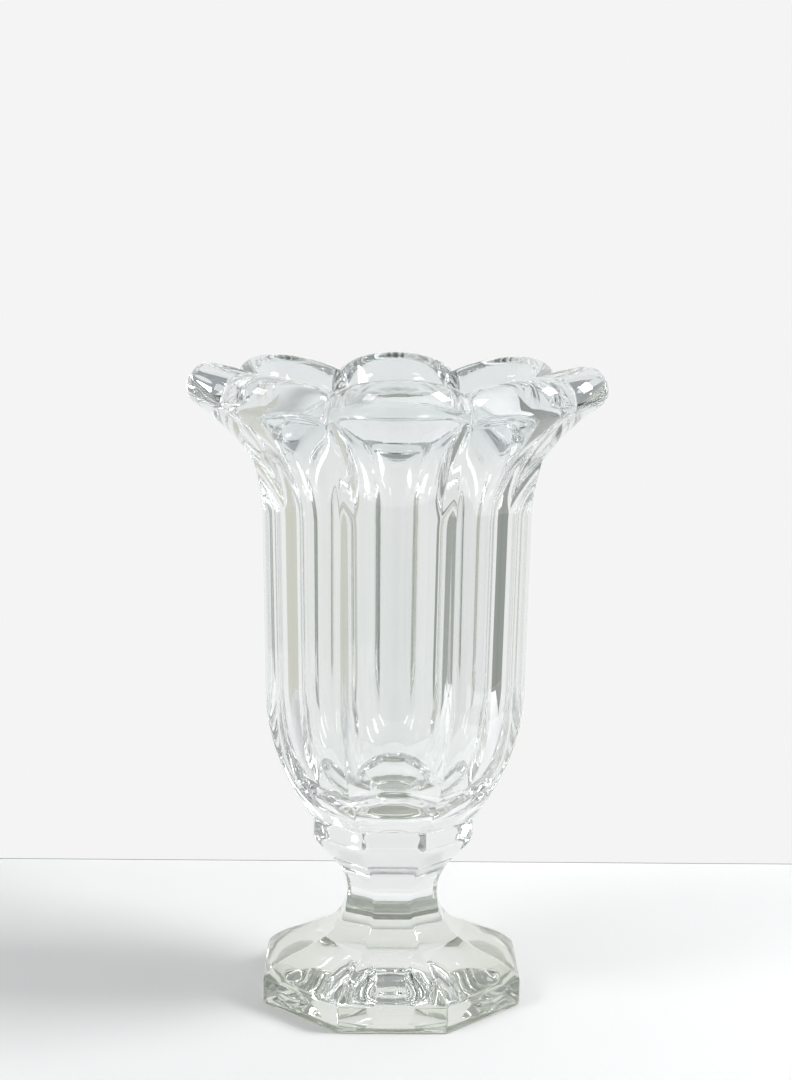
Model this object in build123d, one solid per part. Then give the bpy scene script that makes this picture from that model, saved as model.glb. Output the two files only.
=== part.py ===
from build123d import *
import os
from math import cos, degrees, pi, radians, sin, tan

# Eight-panel footed glass vase: pressed bowl, joining wafer, pressed pedestal.
# Millimetres, +Z up, origin on the floor at the vase's axis, a panel faces -Y.

# count of flutes, petals and foot facets round the axis
PANELS = 8

# pedestal, heights stack up from the floor
FOOT_FLATS = 97.0      # across two opposite foot facets
FOOT_SIDE_H = 9.5      # plain upright side of the foot
FOOT_SHOULDER_H = 9.0  # rounded shoulder above the side
STEM_FLATS = 34.5      # across the waist of the stem
STEM_H = 21.5          # foot top to waist
COLLAR_FLATS = 60.2    # across the collar at its widest
COLLAR_RISE = 24.5     # waist to widest collar
COLLAR_TOP_H = 5.5     # widest collar to its flat seat
RECESS_DEPTH = 3.0     # hollow under the foot
FOOT_RIM = 10.0        # flat ring the foot rests on, at the facet middles

# joint
JOINT_D = 59.0         # diameter shared by both seats and the wafer
SEAT_LAND = 0.3        # pedestal seat shown beyond the joint
WAFER_T = 1.2          # thickness of the joining wafer
BASE_LAND = 3.5        # flat under the bowl shown beyond the joint

# bowl, heights stack up from the wafer
BOWL_ROUND_H = 46.0    # rounded bottom
BOWL_WALL_H = 69.0     # fluted wall
FLARE_H = 41.6         # fluted wall to the lip's lower edge at a petal tip
BOWL_FLATS = 95.7      # across the flute ridges at the foot of the wall
WALL_WIDEN = 2.6       # gain across the ridges at the top of the wall
FLUTE_DEPTH = 4.4      # hollow of a flute below its ridges
WALL = 2.6             # glass behind the middle of a flute
FLOOR_T = 3.0          # glass under the cavity

# rim
RIM_D = 156.8          # across two opposite petal tips, before their lower edge is rounded
CUSP_D = 129.0         # across two opposite notches between petals
EDGE_FALL = 13.4       # degrees the petals' lower edge falls towards the notches
LIP_H = 12.2           # petal's lower edge to its rounded crest
LIP_LEAN = 5.0         # degrees the lip's end face leans inward
CREST_FALL = 24.7      # degrees the crest falls towards the notches
LIP_T = 9.2            # crest's width, end face to inside
NOTCH_FOLLOW = 0.9405  # share of the petals' depth that their inside follows at the notches
MOUTH_RISE = 52.0      # degrees the inside of a petal climbs at the crest
LIP_ROUND = 5.0        # fire-polished outer top edge of the petals
UNDER_ROUND = 2.8      # rounding of the lower edge, this far below and above it

HALF = pi / PANELS
DEEP = radians(70)     # a petal that would pass this half angle of a circle is stretched outward
SEAT_Z = FOOT_SIDE_H + FOOT_SHOULDER_H + STEM_H + COLLAR_RISE + COLLAR_TOP_H
BOWL_Z = SEAT_Z + WAFER_T
WALL_Z = BOWL_Z + BOWL_ROUND_H
FLARE_Z = WALL_Z + BOWL_WALL_H
TIP_Z = FLARE_Z + FLARE_H
LOW_R = BOWL_FLATS / 2
TOP_R = (BOWL_FLATS + WALL_WIDEN) / 2
TIP_R = RIM_D / 2
CUSP_R = CUSP_D / 2
LEAN = radians(LIP_LEAN)
SLOPE = radians(CREST_FALL)
CUSP_Z = TIP_Z - (TIP_R - CUSP_R) * tan(radians(EDGE_FALL))
RISE = radians(MOUTH_RISE)
# the rounding lowers the crest, so the crisp lip is made this much higher
CREST_LOSS = LIP_ROUND * ((cos(LEAN) + sin(SLOPE)) / cos(LEAN - SLOPE) - 1)
CREST_Z = TIP_Z + LIP_H + CREST_LOSS
CREST_R = TIP_R - tan(LEAN) * (CREST_Z - TIP_Z)


def polar(radius, angle, z):
    return (radius * cos(angle), radius * sin(angle), z)


def cubic(p, t):
    s = 1 - t
    return [s**3 * a + 3 * s * s * t * b + 3 * s * t * t * c + t**3 * d for a, b, c, d in zip(*p)]


def radius_at(p, z):
    """Radius where the curve p of (radius, z) points reaches height z."""
    low, high = 0.0, 1.0
    for _ in range(40):
        mid = (low + high) / 2
        if cubic(p, mid)[1] < z:
            low = mid
        else:
            high = mid
    return cubic(p, low)[0]


def panel_edge(z, facing, ridge, middle):
    """One panel's curve at height z, from ridge to ridge through its middle."""
    start, end = polar(ridge, facing - HALF, z), polar(ridge, facing + HALF, z)
    chord = ridge * sin(HALF)
    sag = middle - ridge * cos(HALF)
    if abs(sag) < 0.05:
        sag = 0.05
    if sag < tan(DEEP / 2) * chord:
        return ThreePointArc(start, polar(ridge * cos(HALF) + sag, facing, z), end)
    across, out = chord / sin(DEEP), sag / (1 - cos(DEEP))
    centre = polar(ridge * cos(HALF) - out * cos(DEEP), facing, z)
    turned = Plane(centre, x_dir=polar(1, facing + pi / 2, 0), z_dir=(0, 0, 1))
    return turned * EllipticalCenterArc((0, 0), across, out, 270 - degrees(DEEP), arc_size=2 * degrees(DEEP))


def panel_ring(z, ridge, middle):
    """Closed outline at height z: corners at radius ridge, panel middles at radius middle."""
    facings = [2 * HALF * i - pi / 2 for i in range(PANELS)]
    return Face(Wire([panel_edge(z, facing, ridge, middle) for facing in facings]))


def faceted(profile):
    """Solid whose every facet follows the half profile: the common part of turned prisms."""
    face = make_face(Plane.XZ * profile)
    face = face + mirror(face, about=Plane.YZ)
    prism = extrude(face, amount=FOOT_FLATS, both=True)
    solid = prism
    for i in range(1, PANELS // 2):
        solid = solid & (Rot(0, 0, 2 * i * 180 / PANELS) * prism)
    return solid


def make_pedestal():
    foot, stem, collar = FOOT_FLATS / 2, STEM_FLATS / 2, COLLAR_FLATS / 2
    seat = JOINT_D / 2 + SEAT_LAND
    top = FOOT_SIDE_H + FOOT_SHOULDER_H
    waist = top + STEM_H
    wide = waist + COLLAR_RISE
    brow = stem + 0.584 * (foot - stem)
    side = Line((foot, 0), (foot, FOOT_SIDE_H))
    shoulder = Bezier(
        (foot, FOOT_SIDE_H),
        (foot, FOOT_SIDE_H + 0.31 * FOOT_SHOULDER_H),
        (brow + 0.44 * (foot - brow), top - 0.22 * FOOT_SHOULDER_H),
        (brow, top),
    )
    sweep_in = Bezier(
        (brow, top),
        (stem + 0.178 * (brow - stem), top + 0.247 * STEM_H),
        (stem, top + 0.535 * STEM_H),
        (stem, waist),
    )
    sweep_out = Bezier(
        (stem, waist),
        (stem, waist + 0.53 * COLLAR_RISE),
        (collar, waist + 0.755 * COLLAR_RISE),
        (collar, wide),
    )
    crown = Bezier(
        (collar, wide),
        (collar, wide + 0.6 * COLLAR_TOP_H),
        (seat + 0.4 * (collar - seat), wide + 0.8 * COLLAR_TOP_H),
        (seat, SEAT_Z),
    )
    closing = Polyline((seat, SEAT_Z), (0, SEAT_Z), (0, 0), (foot, 0))
    solid = faceted(side + shoulder + sweep_in + sweep_out + crown + closing)
    reach = foot - FOOT_RIM
    ball = (reach**2 + RECESS_DEPTH**2) / (2 * RECESS_DEPTH)
    return solid - Pos(0, 0, RECESS_DEPTH - ball) * Sphere(ball)


def make_wafer():
    disc = Pos(0, 0, SEAT_Z + WAFER_T / 2) * Cylinder(JOINT_D / 2, WAFER_T)
    return fillet(disc.edges().filter_by(GeomType.CIRCLE), 0.4 * WAFER_T)


def lip_radius(flare, z):
    """Outside radius at height z: flare, rounded lower edge of the lip, leaning end face."""
    edge_r, edge_z = flare[3]
    low = edge_z - UNDER_ROUND
    if z <= low:
        return radius_at(flare, z)
    t = min((z - low) / (2 * UNDER_ROUND), 1)
    face_r = edge_r - tan(LEAN) * (max(z, edge_z + UNDER_ROUND) - edge_z)
    return (1 - t) ** 2 * radius_at(flare, low) + 2 * t * (1 - t) * edge_r + t * t * face_r


def outer_body():
    """Fluted outside of the bowl with its flare and the end faces of the petals, past the crest."""
    base = JOINT_D / 2 + BASE_LAND
    round_h = BOWL_ROUND_H
    bottom = (
        (base, BOWL_Z),
        (base + 0.225 * (LOW_R - base), BOWL_Z + 0.154 * round_h),
        (LOW_R - 0.072 * (LOW_R - base), BOWL_Z + 0.451 * round_h),
        (LOW_R, WALL_Z),
    )
    rings = []
    for i in range(13):
        t = i / 12
        z = BOWL_Z + round_h * t
        r = radius_at(bottom, z)
        ridge = r * (1 + (1 / cos(HALF) - 1) * t**0.6)
        rings.append(panel_ring(z, ridge, r - FLUTE_DEPTH * t**1.3))
    for i in range(1, 13):
        r = LOW_R + (TOP_R - LOW_R) * i / 12
        rings.append(panel_ring(WALL_Z + BOWL_WALL_H * i / 12, r / cos(HALF), r - FLUTE_DEPTH))
    middle = (
        (TOP_R - FLUTE_DEPTH, FLARE_Z),
        (TOP_R - FLUTE_DEPTH + 0.01 * (TIP_R - TOP_R), FLARE_Z + 0.263 * FLARE_H),
        (TIP_R - 0.568 * (TIP_R - TOP_R + FLUTE_DEPTH), FLARE_Z + 0.722 * FLARE_H),
        (TIP_R, TIP_Z),
    )
    ridge_r = TOP_R / cos(HALF)
    ridge = (
        (ridge_r, FLARE_Z),
        (ridge_r + 0.027 * (CUSP_R - ridge_r), FLARE_Z + 0.36 * (CUSP_Z - FLARE_Z)),
        (ridge_r + 0.47 * (CUSP_R - ridge_r), FLARE_Z + 0.73 * (CUSP_Z - FLARE_Z)),
        (CUSP_R, CUSP_Z),
    )
    bend_z, past_z = CUSP_Z - UNDER_ROUND, CREST_Z + 0.25 * LIP_H
    heights = [FLARE_Z + (bend_z - FLARE_Z) * i / 6 for i in range(1, 7)]
    heights += [bend_z + (past_z - bend_z) * i / 16 for i in range(1, 17)]
    rings += [panel_ring(z, lip_radius(ridge, z), lip_radius(middle, z)) for z in heights]
    return loft(rings)


def mouth_curve(crest_r, crest_z, inside):
    """Curve of (radius, z) from the plain wall up to the inside edge of the crest."""
    reach = 0.32 * (crest_z - FLARE_Z)
    return (
        (inside, FLARE_Z),
        (inside + 0.016 * (crest_r - inside), FLARE_Z + 0.25 * FLARE_H),
        (crest_r - reach * cos(RISE), crest_z - reach * sin(RISE)),
        (crest_r, crest_z),
    )


def inner_mouth():
    """Flared mouth with one hollow petal per panel, up to the height of the crest."""
    inside = TOP_R - FLUTE_DEPTH - WALL
    petal_r = CREST_R - LIP_T
    notch_r = petal_r - NOTCH_FOLLOW * (TIP_R - CUSP_R)
    petal_z = CREST_Z - LIP_T * tan(SLOPE)
    notch_z = petal_z - (petal_r - notch_r) * tan(SLOPE)
    petal = mouth_curve(petal_r, petal_z, inside)
    notch = mouth_curve(notch_r, notch_z, inside)
    rings = [panel_ring(FLARE_Z, inside, inside)]
    for i in range(1, 9):
        z = FLARE_Z + (notch_z - FLARE_Z) * i / 8
        rings.append(panel_ring(z, radius_at(notch, z), radius_at(petal, z)))
    for z in (petal_z, TIP_Z + LIP_H):
        widen = (z - notch_z) / tan(RISE)
        out = radius_at(petal, z) if z <= petal_z else petal_r + (z - petal_z) / tan(RISE)
        rings.append(panel_ring(z, notch_r + widen, out))
    return loft(rings)


def cavity():
    """Round inside left by the plunger: rounded floor and plain wall, up to the flare."""
    low, high = LOW_R - FLUTE_DEPTH - WALL, TOP_R - FLUTE_DEPTH - WALL
    floor = BOWL_Z + FLOOR_T
    bend_z = WALL_Z + 0.1 * BOWL_WALL_H
    base = Bezier((0, floor), (0.86 * low, floor), (low, floor + 0.66 * BOWL_ROUND_H), (low, bend_z))
    wall = Line((low, bend_z), (high, FLARE_Z))
    closing = Polyline((high, FLARE_Z), (0, FLARE_Z), (0, floor))
    return revolve(make_face(Plane.XZ * (base + wall + closing)), Axis.Z)


def crest_cut():
    """Everything above the cone that the crest and the notches lie on."""
    low_z = CREST_Z - CREST_R * tan(SLOPE)
    far_r, far_z = 1.2 * CREST_R, CREST_Z + 0.2 * CREST_R * tan(SLOPE)
    cone = Polyline((0, low_z), (far_r, far_z), (far_r, far_z + LIP_H), (0, far_z + LIP_H), (0, low_z))
    return revolve(make_face(Plane.XZ * cone), Axis.Z)


def make_bowl():
    blank = (outer_body() - crest_cut()).solids()[0]
    crest = [edge for edge in blank.edges() if min((edge @ 0).Z, (edge @ 1).Z) > TIP_Z]
    return blank.fillet(LIP_ROUND, crest) - (cavity() + inner_mouth())


def main():
    os.makedirs("parts", exist_ok=True)
    pieces = {"pedestal": make_pedestal(), "wafer": make_wafer(), "bowl": make_bowl()}
    for name, piece in pieces.items():
        solid = piece.solids()[0]
        solid.label = name
        export_step(solid, f"parts/{name}.step")
        box = solid.bounding_box()
        print(name, len(piece.solids()), round(solid.volume), box.min, box.max, solid.is_valid)


main()
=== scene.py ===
from math import cos, pi, radians, sin, sqrt, tan
import bpy
from mathutils import Matrix, Vector


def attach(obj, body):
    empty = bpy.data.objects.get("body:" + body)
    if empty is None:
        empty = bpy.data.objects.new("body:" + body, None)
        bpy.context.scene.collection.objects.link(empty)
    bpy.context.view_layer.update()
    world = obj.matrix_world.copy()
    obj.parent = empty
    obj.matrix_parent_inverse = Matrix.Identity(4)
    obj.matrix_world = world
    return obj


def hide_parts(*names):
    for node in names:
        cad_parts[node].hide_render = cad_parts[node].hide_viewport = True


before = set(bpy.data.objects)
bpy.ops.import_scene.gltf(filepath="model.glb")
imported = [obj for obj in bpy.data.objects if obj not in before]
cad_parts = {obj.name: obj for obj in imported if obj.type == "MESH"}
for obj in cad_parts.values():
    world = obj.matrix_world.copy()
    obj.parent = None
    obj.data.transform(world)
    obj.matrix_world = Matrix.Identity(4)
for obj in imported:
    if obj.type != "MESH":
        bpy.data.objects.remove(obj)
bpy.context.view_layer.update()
scene = bpy.context.scene

panels = 8  # flutes, petals and facets round the axis
half = pi / panels
grid = {"perHalfPanel": 26, "crowd": 1.5, "sharpFrom": 24}  # mesh columns, closer together near the ridges
wear = {"flatSag": 0.01, "fullDepth": 2.0}  # a panel this flat is a plain chord; wear fades on shallow panels


def cubic(p, t):
    s = 1 - t
    return tuple(s**3 * a + 3 * s * s * t * b + 3 * s * t * t * c + t**3 * d for a, b, c, d in zip(*p))


def curveRows(p, n):
    return [cubic(p, i / n) for i in range(n + 1)]


def radiusAt(p, z):
    low, high = 0.0, 1.0
    for i in range(40):
        mid = (low + high) / 2
        if cubic(p, mid)[1] < z:
            low = mid
        else:
            high = mid
    return cubic(p, low)[0]


def panelRadius(turn, ridge, middle, soft):
    chord = ridge * sin(half)  # arc from ridge to ridge through the panel's middle, seen from the axis
    sag = middle - ridge * cos(half)
    if abs(sag) < wear["flatSag"]:
        r = ridge * cos(half) / cos(turn)
    else:
        bend = (chord * chord + sag * sag) / (2 * abs(sag))
        centre = middle - bend if sag > 0 else middle + bend
        root = sqrt(max(bend * bend - (centre * sin(turn)) ** 2, 0))
        r = centre * cos(turn) + (root if sag > 0 else -root)
    drop, deep = abs(ridge - r), ridge - middle
    side = deep / sqrt(deep**2 + wear["fullDepth"] ** 2)  # ridges are worn down, notches filled
    return r - (sqrt(drop * drop + soft * soft) - drop) * side


def facetRadius(turn, flat, soft):
    drop = flat / cos(half) - flat / cos(turn)
    return flat / cos(turn) - (sqrt(drop * drop + soft * soft) - drop)


def panelTurns():
    turns = []
    n = grid["perHalfPanel"]
    for i in range(-n, n):
        t = i / n
        turns.append(half * (abs(t) ** (1 / grid["crowd"])) * (1 if t > 0 else -1))
    return turns


def buildRings(name, columns, start, end):
    # columns: (turn, list of (radius, z)) of one panel; start and end: (z, 1 where glass is fused to glass)
    rows = len(columns[0][1])
    verts, faces, kinds = [], [], []
    around = len(columns) * panels
    for k in range(panels):
        for turn, rowList in columns:
            a = -pi / 2 + 2 * half * k + turn
            for r, z in rowList:
                verts.append((r * cos(a) / 1000, r * sin(a) / 1000, z / 1000))
    for j in range(around):
        n = (j + 1) % around
        for i in range(rows - 1):
            faces.append((j * rows + i, n * rows + i, n * rows + i + 1, j * rows + i + 1))
            kinds.append(0)
    for (z, kind), row in ((start, 0), (end, rows - 1)):
        verts.append((0, 0, z / 1000))
        for j in range(around):
            a, b = j * rows + row, (j + 1) % around * rows + row
            faces.append((len(verts) - 1, b, a) if row == 0 else (len(verts) - 1, a, b))
            kinds.append(kind)
    mesh = bpy.data.meshes.new(name)
    mesh.from_pydata(verts, [], faces)
    mesh.update()
    mesh.shade_smooth()
    mesh.set_sharp_from_angle(angle=radians(grid["sharpFrom"]))
    for face, kind in zip(mesh.polygons, kinds):
        face.material_index = kind
    piece = bpy.data.objects.new(name, mesh)
    scene.collection.objects.link(piece)
    return piece


joint = {"diameter": 59.0, "seatZ": 70.0, "waferT": 1.2, "edge": 0.48}
seatR = joint["diameter"] / 2
flatR = seatR - joint["edge"]
bowlZ = joint["seatZ"] + joint["waferT"]

bowl = {
    "base": 66.0, "flats": 95.7, "widen": 2.6, "fluteDepth": 4.4, "wall": 2.6, "floorT": 3.0,
    "roundH": 46.0, "wallH": 69.0, "flareH": 41.6, "ridgeSoft": 0.25, "notchSoft": 0.6,
    "rim": 156.3, "cusps": 129.0, "cuspDrop": 3.2, "cuspLean": 0.55,
    "tipZ": 230.9, "underZ": 225.3, "lipSlope": 0.40, "underSlope": 0.30,
    "lipIn": 10.15, "crestZ": 238.9, "mouthSlope": 25.0, "innerRise": 52.0,
    "throatZ": 0.25, "throatOut": 0.17, "throatBend": 13.0, "throatTop": 2.0, "cavityBend": 6.9,
    "ridgeGrowth": 0.6, "fluteGrowth": 1.3,
    "bottomCurve": (0.225, 0.154, 0.072, 0.451), "floorCurve": (0.86, 0.66),
    "middleCurve": (0.3, 0.263, 0.568, 0.722), "ridgeCurve": (0.3, 0.36, 0.47, 0.73),
    "underCurve": (0.36, 0.4), "crestCurve": (0.95, 0.45),
}
bowlRows = {
    "bottom": 40, "wall": 24, "flare": 40, "under": 12, "crest": 24, "mouth": 36, "inside": 16, "floor": 40,
}


def bowlCurves(b):
    # curves of (radius, z) up the outside: rounded bottom, middle of a flute, ridge; then the cavity's floor
    baseR, lowR, topR = b["base"] / 2, b["flats"] / 2, (b["flats"] + b["widen"]) / 2
    tipR, cuspR, depth = b["rim"] / 2, b["cusps"] / 2, b["fluteDepth"]
    wallZ = bowlZ + b["roundH"]
    flareZ = wallZ + b["wallH"]
    tipZ = flareZ + b["flareH"]
    cuspZ = tipZ - b["cuspDrop"]
    out, low, back, high = b["bottomCurve"]
    bottom = (
        (baseR, bowlZ), (baseR + out * (lowR - baseR), bowlZ + low * b["roundH"]),
        (lowR - back * (lowR - baseR), bowlZ + high * b["roundH"]), (lowR, wallZ),
    )
    out, low, back, high = b["middleCurve"]
    middle = (
        (topR - depth, flareZ), (topR - depth + out, flareZ + low * b["flareH"]),
        (tipR - back * (tipR - topR + depth), flareZ + high * b["flareH"]), (tipR, tipZ),
    )
    out, low, on, high = b["ridgeCurve"]
    ridgeR = topR / cos(half)
    ridge = (
        (ridgeR, flareZ), (ridgeR + out, flareZ + low * (cuspZ - flareZ)),
        (ridgeR + on * (cuspR - ridgeR), flareZ + high * (cuspZ - flareZ)), (cuspR, cuspZ),
    )
    on, high = b["floorCurve"]
    inLow, floorZ = lowR - depth - b["wall"], bowlZ + b["floorT"]
    base = (
        (0, floorZ), (on * inLow, floorZ),
        (inLow, floorZ + high * b["roundH"]), (inLow, wallZ + b["cavityBend"]),
    )
    return bottom, middle, ridge, base


def bowlColumns(b, n):
    bottom, middle, ridge, base = bowlCurves(b)
    (lowR, wallZ), (cuspR, cuspZ), (inLow, bendZ) = bottom[3], ridge[3], base[3]
    topR, tipR, flareZ = (b["flats"] + b["widen"]) / 2, b["rim"] / 2, wallZ + b["wallH"]
    depth, soft = b["fluteDepth"], b["ridgeSoft"]
    inHigh, throatZ = topR - depth - b["wall"], flareZ + b["throatTop"]
    crestR = tipR - b["lipIn"]
    climb = (cos(radians(b["innerRise"])), sin(radians(b["innerRise"])))
    columns = []
    for turn in panelTurns():
        rows = [(flatR, bowlZ)]
        a = abs(turn)
        for i in range(n["bottom"] + 1):
            t = i / n["bottom"]
            z = bowlZ + b["roundH"] * t
            ridgeGrown, fluteGrown = t ** b["ridgeGrowth"], t ** b["fluteGrowth"]
            r = radiusAt(bottom, z)
            ridgeNow = r * (1 + (1 / cos(half) - 1) * ridgeGrown)
            rows.append((panelRadius(a, ridgeNow, r - depth * fluteGrown, soft * ridgeGrown), z))
        for i in range(1, n["wall"] + 1):
            t = i / n["wall"]
            r = lowR + (topR - lowR) * t
            rows.append((panelRadius(a, r / cos(half), r - depth, soft), wallZ + b["wallH"] * t))
        outR = panelRadius(a, cuspR, tipR, b["notchSoft"])  # petal outline in plan
        inward = tipR - outR
        lipZ = b["tipZ"] - b["lipSlope"] * inward
        underZ = b["underZ"] - b["underSlope"] * inward
        for i in range(1, n["flare"] + 1):
            z = flareZ + (underZ - flareZ) * i / n["flare"]
            past = max(z - cuspZ, 0)
            r = cuspR + b["cuspLean"] * past if past else radiusAt(ridge, z)
            rows.append((panelRadius(a, r, radiusAt(middle, z), soft), z))
        (r0, z0), (r1, z1) = rows[-2], rows[-1]
        on, down = b["underCurve"]
        step = on * (outR - r1 + lipZ - z1) / (r1 - r0 + z1 - z0)
        under = (
            (r1, z1), (min(r1 + (r1 - r0) * step, outR), z1 + (z1 - z0) * step),
            (outR, lipZ - down * (lipZ - z1)), (outR, lipZ),
        )
        rows += curveRows(under, n["under"])[1:]
        inR = outR - b["lipIn"]
        inZ = b["crestZ"] - (crestR - inR) * tan(radians(b["mouthSlope"]))
        up, on = b["crestCurve"]
        crest = (
            (outR, lipZ), (outR, lipZ + up * (inZ - lipZ)),
            (inR + on * b["lipIn"] * climb[0], inZ + on * b["lipIn"] * climb[1]), (inR, inZ),
        )
        rows += curveRows(crest, n["crest"])[1:]
        mouth = (
            (inR, inZ), (inR - b["throatBend"] * climb[0], inZ - b["throatBend"] * climb[1]),
            (inHigh + b["throatOut"], flareZ + b["throatZ"] * b["flareH"]), (inHigh, throatZ),
        )
        rows += curveRows(mouth, n["mouth"])[1:]
        for i in range(1, n["inside"] + 1):
            t = i / n["inside"]
            rows.append((inHigh + (inLow - inHigh) * t, throatZ + (bendZ - throatZ) * t))
        rows += [cubic(base, 1 - i / n["floor"]) for i in range(1, n["floor"])]
        columns.append((turn, rows))
    return columns


bowlPiece = buildRings("bowlGlass", bowlColumns(bowl, bowlRows), (bowlZ, 1), (bowlZ + bowl["floorT"], 0))
print("bowl built", len(bowlPiece.data.polygons))

wafer = {"rows": 10, "round": 0.2}


def waferColumns(w):
    r, z0, z1, e, c = seatR, joint["seatZ"], bowlZ, joint["edge"], w["round"]
    columns = []
    for turn in panelTurns():
        rows = [(flatR, z0)]
        rows += curveRows(((flatR, z0), (r - c, z0), (r, z0 + c), (r, z0 + e)), w["rows"])[1:]
        rows += curveRows(((r, z1 - e), (r, z1 - c), (r - c, z1), (flatR, z1)), w["rows"])
        columns.append((turn, rows))
    return columns


waferPiece = buildRings("waferGlass", waferColumns(wafer), (joint["seatZ"], 1), (bowlZ, 1))
print("wafer built", len(waferPiece.data.polygons))

pedestal = {
    "foot": 97.0, "sideH": 9.5, "shoulderH": 9.0, "stem": 34.5, "stemH": 21.5,
    "collar": 60.2, "collarRise": 24.5, "collarTop": 5.5, "recess": 3.0, "rim": 10.0,
    "seatLand": 0.3, "brow": 0.584, "cornerSoft": 0.22, "bottomRound": 0.8, "bottomCurve": 0.3,
    "shoulderCurve": (0.31, 0.44, 0.22), "sweepInCurve": (0.178, 0.247, 0.535),
    "sweepOutCurve": (0.53, 0.755), "crownCurve": (0.6, 0.4, 0.8),
}
pedestalRows = {"recess": 24, "round": 5, "side": 4, "shoulder": 26, "sweep": 40, "crown": 12}


def pedestalProfile(p, n):
    # (radius at the facets' middle, z) from the foot's lower edge to the seat
    foot, stem, collar = p["foot"] / 2, p["stem"] / 2, p["collar"] / 2
    top = p["sideH"] + p["shoulderH"]
    waist = top + p["stemH"]
    wide = waist + p["collarRise"]
    seat = seatR + p["seatLand"]
    brow = stem + p["brow"] * (foot - stem)
    e, c = p["bottomRound"], p["bottomCurve"]
    profile = curveRows(((foot - e, 0), (foot - c * e, 0), (foot, c * e), (foot, e)), n["round"])
    profile += [(foot, e + (p["sideH"] - e) * i / n["side"]) for i in range(1, n["side"] + 1)]
    up, on, down = p["shoulderCurve"]
    shoulder = (
        (foot, p["sideH"]), (foot, p["sideH"] + up * p["shoulderH"]),
        (brow + on * (foot - brow), top - down * p["shoulderH"]), (brow, top),
    )
    on, low, high = p["sweepInCurve"]
    sweepIn = (
        (brow, top), (stem + on * (brow - stem), top + low * p["stemH"]),
        (stem, top + high * p["stemH"]), (stem, waist),
    )
    low, high = p["sweepOutCurve"]
    sweepOut = (
        (stem, waist), (stem, waist + low * p["collarRise"]),
        (collar, waist + high * p["collarRise"]), (collar, wide),
    )
    low, on, high = p["crownCurve"]
    crown = (
        (collar, wide), (collar, wide + low * p["collarTop"]),
        (seat + on, wide + high * p["collarTop"]), (seat, joint["seatZ"]),
    )
    profile += curveRows(shoulder, n["shoulder"])[1:] + curveRows(sweepIn, n["sweep"])[1:]
    return profile + curveRows(sweepOut, n["sweep"])[1:] + curveRows(crown, n["crown"])[1:]


def pedestalColumns(p, n):
    profile = pedestalProfile(p, n)
    reach, m = p["foot"] / 2 - p["rim"], n["recess"]
    columns = []
    for turn in panelTurns():
        rows = [(reach * i / m, p["recess"] * (1 - (i / m) ** 2)) for i in range(1, m + 1)]
        rows += [(facetRadius(abs(turn), r, p["cornerSoft"]), z) for r, z in profile]
        rows.append((flatR, joint["seatZ"]))
        columns.append((turn, rows))
    return columns


pedestalList = pedestalColumns(pedestal, pedestalRows)
pedestalPiece = buildRings("pedestalGlass", pedestalList, (pedestal["recess"], 0), (joint["seatZ"], 1))
print("pedestal built", len(pedestalPiece.data.polygons))

glass = {
    "ior": 1.52, "roughness": 0.0,
    "tintDeep": (0.93, 0.95, 0.945), "tintPale": (0.955, 0.968, 0.966), "tintScale": 18.0,
    "tintFrom": 0.35, "tintTo": 0.65,
    "tall": 0.24, "footTop": 0.06, "wallLow": 0.12, "wallTop": 0.88, "rimLow": 0.95,  # shares of tall
    # foot and rim colours: the glass's own tint plus painted shade, the shaded floor under the foot and the
    # darker room seen through the rim
    "footTintAndShade": (0.80, 0.83, 0.75), "rimTintAndShade": (0.91, 0.93, 0.94),
    "waveScale": 60.0, "waveStrength": 0.01, "waveDepth": 0.0006,
}


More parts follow.
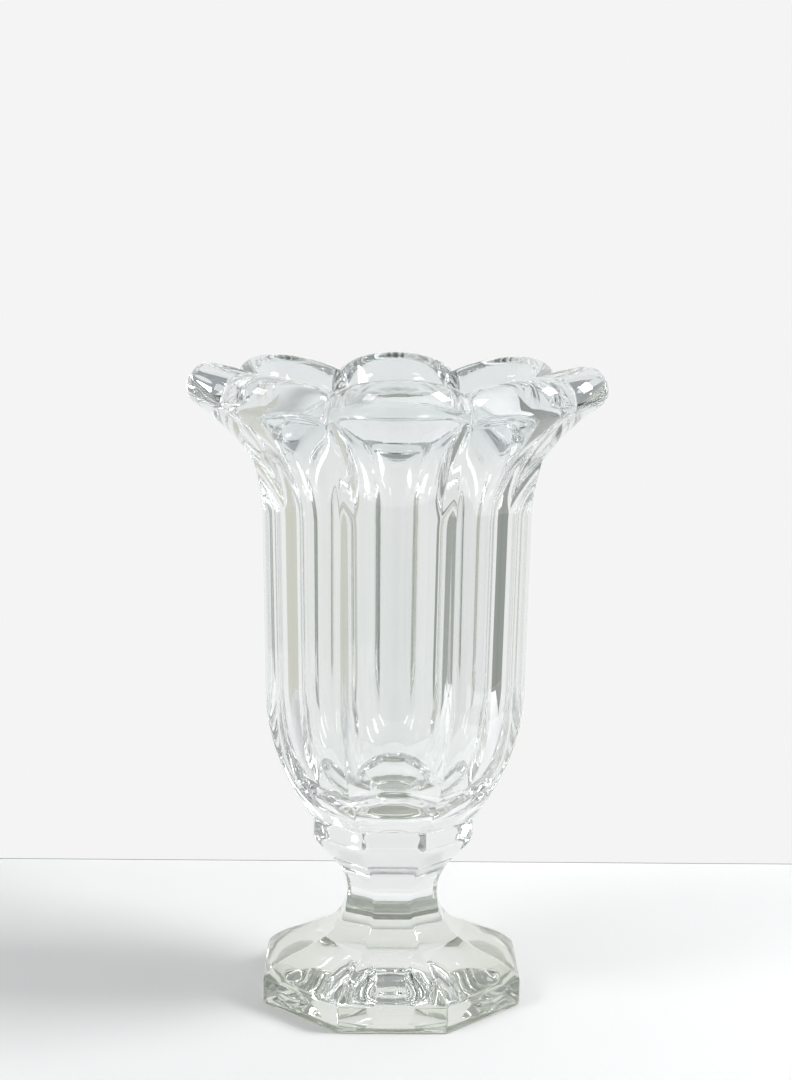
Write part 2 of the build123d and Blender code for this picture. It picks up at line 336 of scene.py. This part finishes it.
def glassMaterial(look):
    mat = bpy.data.materials.new("clearGlass")
    mat.use_nodes = True
    nodes, links = mat.node_tree.nodes, mat.node_tree.links
    shader = nodes["Principled BSDF"]
    shader.inputs["Transmission Weight"].default_value = 1
    shader.inputs["IOR"].default_value = look["ior"]
    shader.inputs["Roughness"].default_value = look["roughness"]
    place = nodes.new("ShaderNodeTexCoord")
    streaks = nodes.new("ShaderNodeTexNoise")
    streaks.inputs["Scale"].default_value = look["tintScale"]
    tint = nodes.new("ShaderNodeValToRGB")
    tint.color_ramp.elements[0].position = look["tintFrom"]
    tint.color_ramp.elements[0].color = (*look["tintDeep"], 1)
    tint.color_ramp.elements[1].position = look["tintTo"]
    tint.color_ramp.elements[1].color = (*look["tintPale"], 1)
    links.new(place.outputs["Object"], streaks.inputs["Vector"])
    links.new(streaks.outputs["Fac"], tint.inputs["Fac"])
    axes = nodes.new("ShaderNodeSeparateXYZ")
    upward = nodes.new("ShaderNodeMapRange")
    upward.inputs["From Max"].default_value = look["tall"]
    depth = nodes.new("ShaderNodeValToRGB")  # thick foot and petals take more colour than the thin wall; this tint also holds painted shade, the shaded floor under the foot and the darker room seen through the rim
    depth.color_ramp.elements[0].position = look["footTop"]
    depth.color_ramp.elements[0].color = (*look["footTintAndShade"], 1)
    depth.color_ramp.elements[1].position = look["rimLow"]
    depth.color_ramp.elements[1].color = (*look["rimTintAndShade"], 1)
    for spot in (look["wallLow"], look["wallTop"]):
        depth.color_ramp.elements.new(spot).color = (1, 1, 1, 1)
    both = nodes.new("ShaderNodeMix")
    both.data_type = "RGBA"
    both.blend_type = "MULTIPLY"
    both.inputs[0].default_value = 1
    links.new(place.outputs["Object"], axes.inputs[0])
    links.new(axes.outputs["Z"], upward.inputs[0])
    links.new(upward.outputs[0], depth.inputs[0])
    links.new(tint.outputs["Color"], both.inputs[6])  # 6, 7 and 2 are the colour sockets
    links.new(depth.outputs["Color"], both.inputs[7])
    links.new(both.outputs[2], shader.inputs["Base Color"])
    waves = nodes.new("ShaderNodeTexNoise")
    waves.inputs["Scale"].default_value = look["waveScale"]
    bump = nodes.new("ShaderNodeBump")
    bump.inputs["Strength"].default_value = look["waveStrength"]
    bump.inputs["Distance"].default_value = look["waveDepth"]
    links.new(place.outputs["Object"], waves.inputs["Vector"])
    links.new(waves.outputs["Fac"], bump.inputs["Height"])
    links.new(bump.outputs["Normal"], shader.inputs["Normal"])
    return mat


def seatMaterial():
    mat = bpy.data.materials.new("fusedSeat")  # bowl, wafer and pedestal are one mass of glass here
    mat.use_nodes = True
    nodes, links = mat.node_tree.nodes, mat.node_tree.links
    nodes.remove(nodes["Principled BSDF"])
    clear = nodes.new("ShaderNodeBsdfTransparent")
    links.new(clear.outputs[0], nodes["Material Output"].inputs[0])
    return mat


glassMat, seatMat = glassMaterial(glass), seatMaterial()
for piece, node in ((bowlPiece, "bowl"), (waferPiece, "wafer"), (pedestalPiece, "pedestal")):
    piece.data.materials.append(glassMat)
    piece.data.materials.append(seatMat)
    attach(piece, "root")
    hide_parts(node)
print("glass set")

studio = {
    "wallY": 0.1524, "wallWide": 0.2, "wallTall": 0.5, "wallWhite": 0.905,
    "floorWide": 0.5, "floorFront": -0.2, "floorZ": -0.0002, "floorWhite": 0.91,
    "grain": 0.015, "grainScale": 900,
}


def sheet(name, corners, mat):
    mesh = bpy.data.meshes.new(name)
    mesh.from_pydata(corners, [], [(0, 1, 2, 3)])
    mesh.update()
    mesh.materials.append(mat)
    card = bpy.data.objects.new(name, mesh)
    scene.collection.objects.link(card)


def oneSided(mat, shader):
    nodes, links = mat.node_tree.nodes, mat.node_tree.links
    side = nodes.new("ShaderNodeNewGeometry")
    clear = nodes.new("ShaderNodeBsdfTransparent")
    mix = nodes.new("ShaderNodeMixShader")  # seen from its back, a sheet doesn't hide the vase
    links.new(side.outputs["Backfacing"], mix.inputs[0])
    links.new(shader.outputs[0], mix.inputs[1])
    links.new(clear.outputs[0], mix.inputs[2])
    links.new(mix.outputs[0], nodes["Material Output"].inputs[0])


def floorMaterial(white, grain, scale):
    mat = bpy.data.materials.new("floorPaper")  # plain lit paper, so it keeps the vase's shadow
    mat.use_nodes = True
    nodes, links = mat.node_tree.nodes, mat.node_tree.links
    shader = nodes["Principled BSDF"]
    shader.inputs["Roughness"].default_value = 1
    shader.inputs["Specular IOR Level"].default_value = 0
    fibres = nodes.new("ShaderNodeTexNoise")
    fibres.inputs["Scale"].default_value = scale
    tone = nodes.new("ShaderNodeValToRGB")
    tone.color_ramp.elements[0].color = (white - grain, white - grain, white - grain, 1)
    tone.color_ramp.elements[1].color = (white + grain, white + grain, white + grain, 1)
    links.new(fibres.outputs["Fac"], tone.inputs["Fac"])
    links.new(tone.outputs["Color"], shader.inputs["Base Color"])
    oneSided(mat, shader)
    return mat


def wallMaterial(white):
    mat = bpy.data.materials.new("wallPaper")  # even white to the eye and through glass, else lit paper
    mat.use_nodes = True
    nodes, links = mat.node_tree.nodes, mat.node_tree.links
    nodes.remove(nodes["Principled BSDF"])
    glow = nodes.new("ShaderNodeEmission")
    glow.inputs[0].default_value = (white, white, white, 1)
    paper = nodes.new("ShaderNodeBsdfDiffuse")
    mix = nodes.new("ShaderNodeMixShader")
    path = nodes.new("ShaderNodeLightPath")
    last = path.outputs["Is Camera Ray"]
    for kind in ("Is Glossy Ray", "Is Transmission Ray"):
        either = nodes.new("ShaderNodeMath")
        either.operation = "MAXIMUM"
        links.new(last, either.inputs[0])
        links.new(path.outputs[kind], either.inputs[1])
        last = either.outputs[0]
    links.new(last, mix.inputs[0])
    links.new(paper.outputs[0], mix.inputs[1])
    links.new(glow.outputs[0], mix.inputs[2])
    oneSided(mat, mix)
    return mat


x, y0, y1, z = studio["floorWide"], studio["floorFront"], studio["wallY"], studio["floorZ"]
floorMat = floorMaterial(studio["floorWhite"], studio["grain"], studio["grainScale"])
sheet("floorSheet", [(-x, y0, z), (x, y0, z), (x, y1, z), (-x, y1, z)], floorMat)
x, z = studio["wallWide"], studio["wallTall"]
sheet("wallSheet", [(-x, y1, 0), (x, y1, 0), (x, y1, z), (-x, y1, z)], wallMaterial(studio["wallWhite"]))

room = {  # what the glass shows past the sheets
    "leftTone": (0.64, 0.64, 0.57), "leftEnd": 0.25, "rightTone": (0.30, 0.32, 0.30), "rightStart": 0.75,
    "frontTone": (0.04, 0.05, 0.05), "frontStart": 0.4, "frontEnd": 0.6,
    "ceilingTone": (0.39, 0.40, 0.41), "ceilingFrom": 0.5,
}


def roomWorld(look):
    world = bpy.data.worlds.new("room")
    scene.world = world
    world.use_nodes = True
    nodes, links = world.node_tree.nodes, world.node_tree.links
    place = nodes.new("ShaderNodeTexCoord")
    axes = nodes.new("ShaderNodeSeparateXYZ")
    across = nodes.new("ShaderNodeMapRange")
    across.inputs["From Min"].default_value = -1
    sides = nodes.new("ShaderNodeValToRGB")  # left of the room, its dark front, right of the room
    sides.color_ramp.elements[0].position = look["leftEnd"]
    sides.color_ramp.elements[0].color = (*look["leftTone"], 1)
    sides.color_ramp.elements[1].position = look["rightStart"]
    sides.color_ramp.elements[1].color = (*look["rightTone"], 1)
    for spot in (look["frontStart"], look["frontEnd"]):
        sides.color_ramp.elements.new(spot).color = (*look["frontTone"], 1)
    upward = nodes.new("ShaderNodeMapRange")
    upward.inputs["From Max"].default_value = look["ceilingFrom"]
    ceiling = nodes.new("ShaderNodeBackground")
    ceiling.inputs[0].default_value = (*look["ceilingTone"], 1)
    mix = nodes.new("ShaderNodeMixShader")
    links.new(place.outputs["Generated"], axes.inputs[0])
    links.new(axes.outputs["X"], across.inputs[0])
    links.new(across.outputs[0], sides.inputs[0])
    links.new(sides.outputs[0], nodes["Background"].inputs[0])
    links.new(axes.outputs["Z"], upward.inputs[0])
    links.new(upward.outputs[0], mix.inputs[0])
    links.new(nodes["Background"].outputs[0], mix.inputs[1])
    links.new(ceiling.outputs[0], mix.inputs[2])
    links.new(mix.outputs[0], nodes["World Output"].inputs[0])


roomWorld(room)

lamps = {  # place, side in metres, watts
    "keyBox": ((0.9, -0.08, 0.85), 0.45, 10.5),
    "fillBox": ((-0.8, -0.5, 0.9), 0.4, 3.6),
}
lampAim = (0, 0, 0.1)


def softbox(name, place, side, power):
    lamp = bpy.data.lights.new(name, "AREA")
    lamp.shape = "RECTANGLE"
    lamp.size, lamp.size_y = side, side
    lamp.energy = power
    box = bpy.data.objects.new(name, lamp)
    scene.collection.objects.link(box)
    box.location = place
    box.rotation_euler = (Vector(place) - Vector(lampAim)).to_track_quat("Z", "Y").to_euler()


for name, values in lamps.items():
    softbox(name, *values)
print("studio set")

view = {
    "far": 0.752096, "high": 0.294485, "down": 9.0565, "turn": 0.8, "roll": 0.66,
    "focal": 2032.211, "frameTall": 1080, "sensor": 24,  # focal length in pixels of the frame
    "bounces": 32, "mirrorBounces": 16,
}
camData = bpy.data.cameras.new("camera")
cam = bpy.data.objects.new("camera", camData)
scene.collection.objects.link(cam)
cam.matrix_world = (
    Matrix.Rotation(-radians(view["turn"]), 4, "Z")
    @ Matrix.Translation((0, -view["far"], view["high"]))
    @ Matrix.Rotation(pi / 2 - radians(view["down"]), 4, "X")
    @ Matrix.Rotation(radians(view["roll"]), 4, "Z")
)
camData.sensor_fit = "VERTICAL"
camData.sensor_height = view["sensor"]
camData.lens = view["focal"] / view["frameTall"] * view["sensor"]
scene.camera = cam
scene.view_settings.view_transform = "Standard"
scene.cycles.max_bounces = view["bounces"]
scene.cycles.transmission_bounces = view["bounces"]
scene.cycles.glossy_bounces = view["mirrorBounces"]
